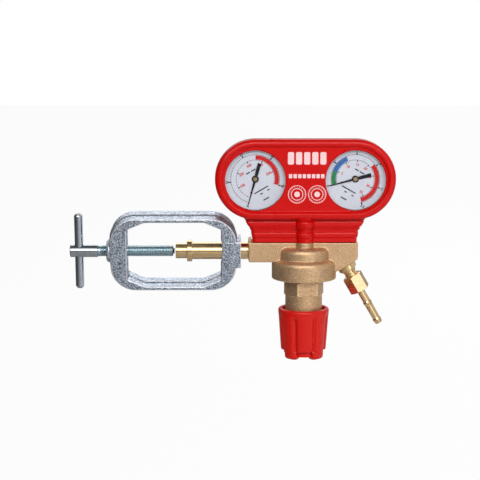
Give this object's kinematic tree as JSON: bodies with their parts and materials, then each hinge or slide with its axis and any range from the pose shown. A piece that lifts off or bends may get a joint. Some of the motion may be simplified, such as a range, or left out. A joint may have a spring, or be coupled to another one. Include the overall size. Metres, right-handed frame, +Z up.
{
  "type": "gas regulator",
  "caption": "Compact fuel gas regulator: brass body with a yoke clamp inlet, paired pressure gauges in a red plastic housing, an adjusting knob and a barbed hose outlet.",
  "frame": {"origin": "the middle of the clamp pad's face at rest, on the inlet axis, where the cylinder valve is held; the regulator axis crosses the inlet axis 120.6 mm further along +X", "axes": "+Z up along the regulator axis away from the knob, -X along the inlet towards the yoke, -Y towards the gauge faces"},
  "size_m": [0.3006, 0.06, 0.2061],
  "materials": {
    "cast_brass": "forged and sandblasted, matte",
    "turned_brass": "turned, bright",
    "zinc_plate": "zinc plated, granular on the cast yoke",
    "bright_steel": "bright machined steel",
    "red_plastic": "moulded, glossy",
    "black_rubber": "smooth",
    "sintered_bronze": "sintered, porous",
    "copper_alloy": "drawn, satin",
    "dial_white": "printed aluminium dial",
    "pointer_black": "painted, satin",
    "clear_lens": "clear polished plastic"
  },
  "bodies": {
    "regulator": {"body": "cast_brass", "bonnet": "cast_brass", "diaphragm": "black_rubber", "slip_ring": "bright_steel", "main_spring": "bright_steel", "valve_nozzle": "turned_brass", "poppet_spring": "bright_steel", "inlet_filter": "sintered_bronze", "inlet_stem": "turned_brass", "outlet_adapter": "turned_brass", "front_housing": "red_plastic", "back_housing": "red_plastic", "housing_screw_1": "bright_steel", "housing_screw_2": "bright_steel", "housing_screw_3": "bright_steel", "housing_screw_4": "bright_steel", "inlet_gauge_case": "bright_steel", "inlet_gauge_socket": "turned_brass", "inlet_gauge_washer": "copper_alloy", "inlet_gauge_bourdon_tube": "copper_alloy", "inlet_gauge_movement_frame": "turned_brass", "inlet_gauge_dial": "dial_white", "inlet_gauge_window": "clear_lens", "outlet_gauge_case": "bright_steel", "outlet_gauge_socket": "turned_brass", "outlet_gauge_washer": "copper_alloy", "outlet_gauge_bourdon_tube": "copper_alloy", "outlet_gauge_movement_frame": "turned_brass", "outlet_gauge_dial": "dial_white", "outlet_gauge_window": "clear_lens"},
    "spring_seat": {"spring_seat": "bright_steel"},
    "knob": {"knob": "red_plastic", "adjusting_screw": "bright_steel"},
    "diaphragm_plate": {"diaphragm_plate": "turned_brass"},
    "valve_poppet": {"valve_poppet": "bright_steel"},
    "yoke_bush": {"yoke_bush": "bright_steel"},
    "yoke": {"yoke": "zinc_plate"},
    "screw_pad": {"screw_pad": "bright_steel"},
    "clamp_screw": {"clamp_screw": "zinc_plate", "tommy_bar": "zinc_plate"},
    "hose_tail": {"hose_tail": "turned_brass"},
    "outlet_nut": {"outlet_nut": "turned_brass"},
    "inlet_gauge_pointer": {"inlet_gauge_arbor": "turned_brass", "inlet_gauge_hairspring": "bright_steel", "inlet_gauge_pointer": "pointer_black"},
    "inlet_gauge_sector": {"inlet_gauge_sector_gear": "turned_brass"},
    "inlet_gauge_link": {"inlet_gauge_link": "turned_brass"},
    "outlet_gauge_pointer": {"outlet_gauge_arbor": "turned_brass", "outlet_gauge_hairspring": "bright_steel", "outlet_gauge_pointer": "pointer_black"},
    "outlet_gauge_sector": {"outlet_gauge_sector_gear": "turned_brass"},
    "outlet_gauge_link": {"outlet_gauge_link": "turned_brass"}
  },
  "joints": [
    {"name": "seat_travel", "type": "slide", "parent": "regulator", "child": "spring_seat", "axis": [0, 0, 1], "range_m": [0, 0.0091], "deforming": ["main_spring"]},
    {"name": "knob_turn", "type": "hinge", "parent": "spring_seat", "child": "knob", "pos_m": [0.1206, 0, -0.0537], "axis": [0, 0, 1], "range_deg": [0, 2160]},
    {"name": "valve_lift", "type": "slide", "parent": "regulator", "child": "diaphragm_plate", "axis": [0, 0, 1], "range_m": [0, 0.0008], "deforming": ["diaphragm"]},
    {"name": "poppet_lift", "type": "slide", "parent": "regulator", "child": "valve_poppet", "axis": [0, 0, 1], "range_m": [0, 0.0008], "deforming": ["poppet_spring"]},
    {"name": "yoke_slide", "type": "slide", "parent": "regulator", "child": "yoke_bush", "axis": [1, 0, 0], "range_m": [-0.026, 0.0005]},
    {"name": "yoke_swivel", "type": "hinge", "parent": "yoke_bush", "child": "yoke", "pos_m": [0.0506, 0, 0], "axis": [1, 0, 0], "continuous": true},
    {"name": "clamp_travel", "type": "slide", "parent": "yoke", "child": "screw_pad", "axis": [1, 0, 0], "range_m": [-0.0361, 0.0004]},
    {"name": "clamp_turn", "type": "hinge", "parent": "screw_pad", "child": "clamp_screw", "pos_m": [-0.0887, 0, 0], "axis": [1, 0, 0], "range_deg": [-8640, 90]},
    {"name": "tail_travel", "type": "slide", "parent": "regulator", "child": "hose_tail", "axis": [0.5, 0, -0.866], "range_m": [0, 0.0076]},
    {"name": "nut_turn", "type": "hinge", "parent": "hose_tail", "child": "outlet_nut", "pos_m": [0.1598, 0, -0.0134], "axis": [0.5, 0, -0.866], "range_deg": [-1800, 0]},
    {"name": "inlet_gauge_pointer_turn", "type": "hinge", "parent": "regulator", "child": "inlet_gauge_pointer", "pos_m": [0.0746, 0, 0.0683], "axis": [0, 1, 0], "range_deg": [0, 270]},
    {"name": "inlet_gauge_sector_turn", "type": "hinge", "parent": "regulator", "child": "inlet_gauge_sector", "pos_m": [0.0799, 0, 0.05912], "axis": [0, 1, 0], "range_deg": [-38, 0]},
    {"name": "inlet_gauge_link_turn", "type": "hinge", "parent": "inlet_gauge_sector", "child": "inlet_gauge_link", "pos_m": [0.0851, 0, 0.05612], "axis": [0, 1, 0], "range_deg": [0, 38]},
    {"name": "outlet_gauge_pointer_turn", "type": "hinge", "parent": "regulator", "child": "outlet_gauge_pointer", "pos_m": [0.1666, 0, 0.0683], "axis": [0, 1, 0], "range_deg": [0, 270]},
    {"name": "outlet_gauge_sector_turn", "type": "hinge", "parent": "regulator", "child": "outlet_gauge_sector", "pos_m": [0.1613, 0, 0.05912], "axis": [0, 1, 0], "range_deg": [-38, 0]},
    {"name": "outlet_gauge_link_turn", "type": "hinge", "parent": "outlet_gauge_sector", "child": "outlet_gauge_link", "pos_m": [0.1613, 0, 0.05312], "axis": [0, 1, 0], "range_deg": [0, 38]}
  ],
  "couplings": [
    {"joint": "seat_travel", "follows": "knob_turn", "m_per_rad": 0.00023873},
    {"joint": "poppet_lift", "follows": "valve_lift", "ratio": 1},
    {"joint": "clamp_travel", "follows": "clamp_turn", "m_per_rad": 0.00023873},
    {"joint": "tail_travel", "follows": "nut_turn", "m_per_rad": -0.00023873},
    {"joint": "inlet_gauge_sector_turn", "follows": "inlet_gauge_pointer_turn", "ratio": -0.13978},
    {"joint": "inlet_gauge_link_turn", "follows": "inlet_gauge_pointer_turn", "ratio": 0.13978},
    {"joint": "outlet_gauge_sector_turn", "follows": "outlet_gauge_pointer_turn", "ratio": -0.13978},
    {"joint": "outlet_gauge_link_turn", "follows": "outlet_gauge_pointer_turn", "ratio": 0.13978}
  ]
}
